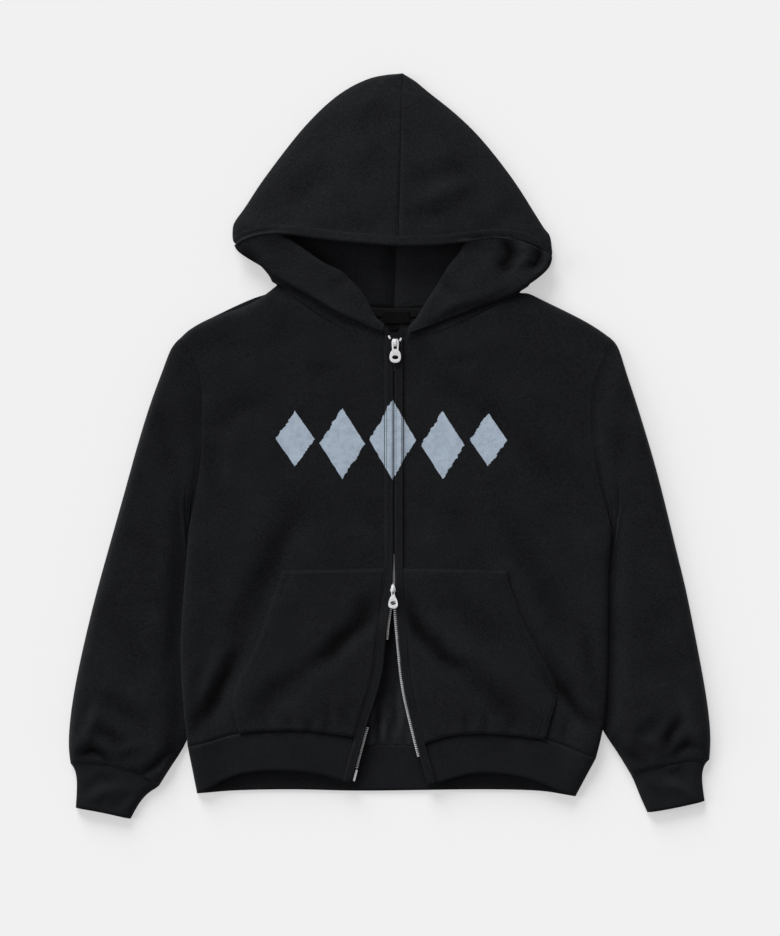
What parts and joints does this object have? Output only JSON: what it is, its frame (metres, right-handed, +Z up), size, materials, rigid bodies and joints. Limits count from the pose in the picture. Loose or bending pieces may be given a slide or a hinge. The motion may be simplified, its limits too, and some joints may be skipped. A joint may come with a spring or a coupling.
{
  "type": "zip up hoodie",
  "caption": "Heavy fleece hoodie with a full-length metal zip, lying flat and front up, with its hood open, a kangaroo pocket in halves and rib cuffs and hem.",
  "frame": {"origin": "on the underside of the back panel, on the line of the zip, at chest height", "axes": "+Z up from the surface the garment lies on, +Y towards the hood, +X towards the wearer's left side"},
  "size_m": [0.8335, 0.9681, 0.0331],
  "materials": {
    "fleece": "matt black brushed-back fleece with a fine jersey face",
    "rib": "matt black 1x1 rib",
    "tape": "matt black woven tape",
    "label": "smooth black woven label, bare",
    "zip_metal": "bright nickel, polished"
  },
  "bodies": {
    "garment": {"back": "fleece", "front_left": "fleece", "front_right": "fleece", "sleeve_left": "fleece", "sleeve_right": "fleece", "cuff_left": "rib", "cuff_right": "rib", "hem_band": "rib", "pocket_left": "fleece", "pocket_right": "fleece", "placket_left": "fleece", "placket_right": "fleece", "zip_tape_left": "tape", "zip_tape_right": "tape", "hood_left": "fleece", "hood_right": "fleece", "neck_tape": "tape", "neck_label": "label", "size_tab": "label", "top_slider": "zip_metal", "bottom_slider": "zip_metal", "top_stop_left": "zip_metal", "top_stop_right": "zip_metal", "end_pin": "zip_metal"},
    "top_pull": {"top_pull": "zip_metal"},
    "bottom_pull": {"bottom_pull": "zip_metal"}
  },
  "joints": [
    {"name": "top_pull_hinge", "type": "hinge", "parent": "garment", "child": "top_pull", "pos_m": [0.0016, 0.1345, 0.02222], "axis": [-1, 0, 0], "range_deg": [0, 150]},
    {"name": "bottom_pull_hinge", "type": "hinge", "parent": "garment", "child": "bottom_pull", "pos_m": [-0.0012, -0.183, 0.02305], "axis": [-1, 0, 0], "range_deg": [0, 150]}
  ]
}
